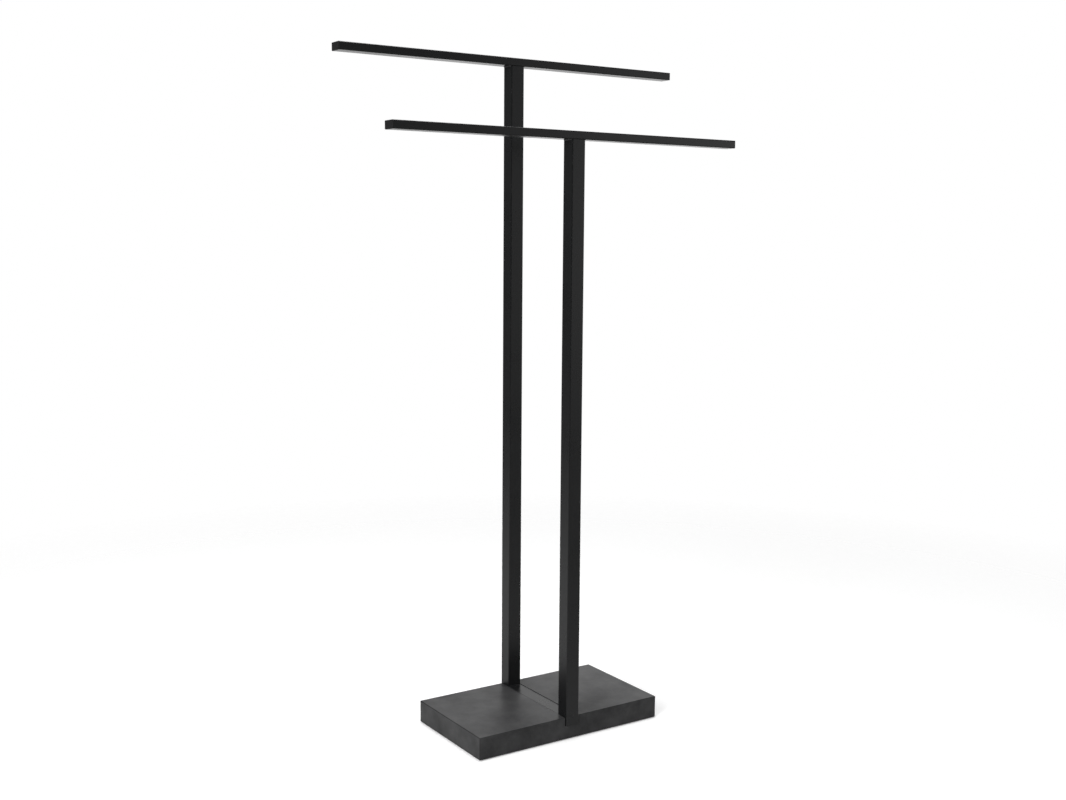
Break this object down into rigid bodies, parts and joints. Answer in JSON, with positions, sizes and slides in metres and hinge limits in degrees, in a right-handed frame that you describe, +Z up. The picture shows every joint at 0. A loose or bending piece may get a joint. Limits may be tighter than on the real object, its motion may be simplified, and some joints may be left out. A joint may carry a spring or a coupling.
{
  "type": "two-bar towel stand",
  "caption": "Free-standing stand with tall square posts one behind the other, each with a straight bar across its top at a stepped height, on a heavy rectangular stone base.",
  "frame": {"origin": "on the floor, under the middle of the base", "axes": "+X along the towel bars, -Y towards the lower front bar, +Z up"},
  "size_m": [0.5, 0.156, 0.86],
  "materials": {
    "stone_base": "smooth honed charcoal stone with faint clouding",
    "frame_metal": "satin black powder coat",
    "end_caps": "satin black moulded plastic",
    "plugs": "black moulded plastic",
    "fasteners": "zinc-plated steel",
    "feet": "matt black rubber"
  },
  "bodies": {
    "root": {"base_slab": "stone_base", "base_strip": "frame_metal", "front_post": "frame_metal", "rear_post": "frame_metal", "front_towel_bar": "frame_metal", "rear_towel_bar": "frame_metal", "front_bar_left_cap": "end_caps", "front_bar_right_cap": "end_caps", "rear_bar_left_cap": "end_caps", "rear_bar_right_cap": "end_caps", "front_bar_weld": "frame_metal", "rear_bar_weld": "frame_metal", "front_foot_weld": "frame_metal", "rear_foot_weld": "frame_metal", "front_post_plug": "plugs", "rear_post_plug": "plugs", "front_bolt": "fasteners", "rear_bolt": "fasteners", "front_flat_washer": "fasteners", "rear_flat_washer": "fasteners", "front_lock_washer": "fasteners", "rear_lock_washer": "fasteners", "front_left_foot": "feet", "front_right_foot": "feet", "rear_left_foot": "feet", "rear_right_foot": "feet"}
  },
  "joints": []
}
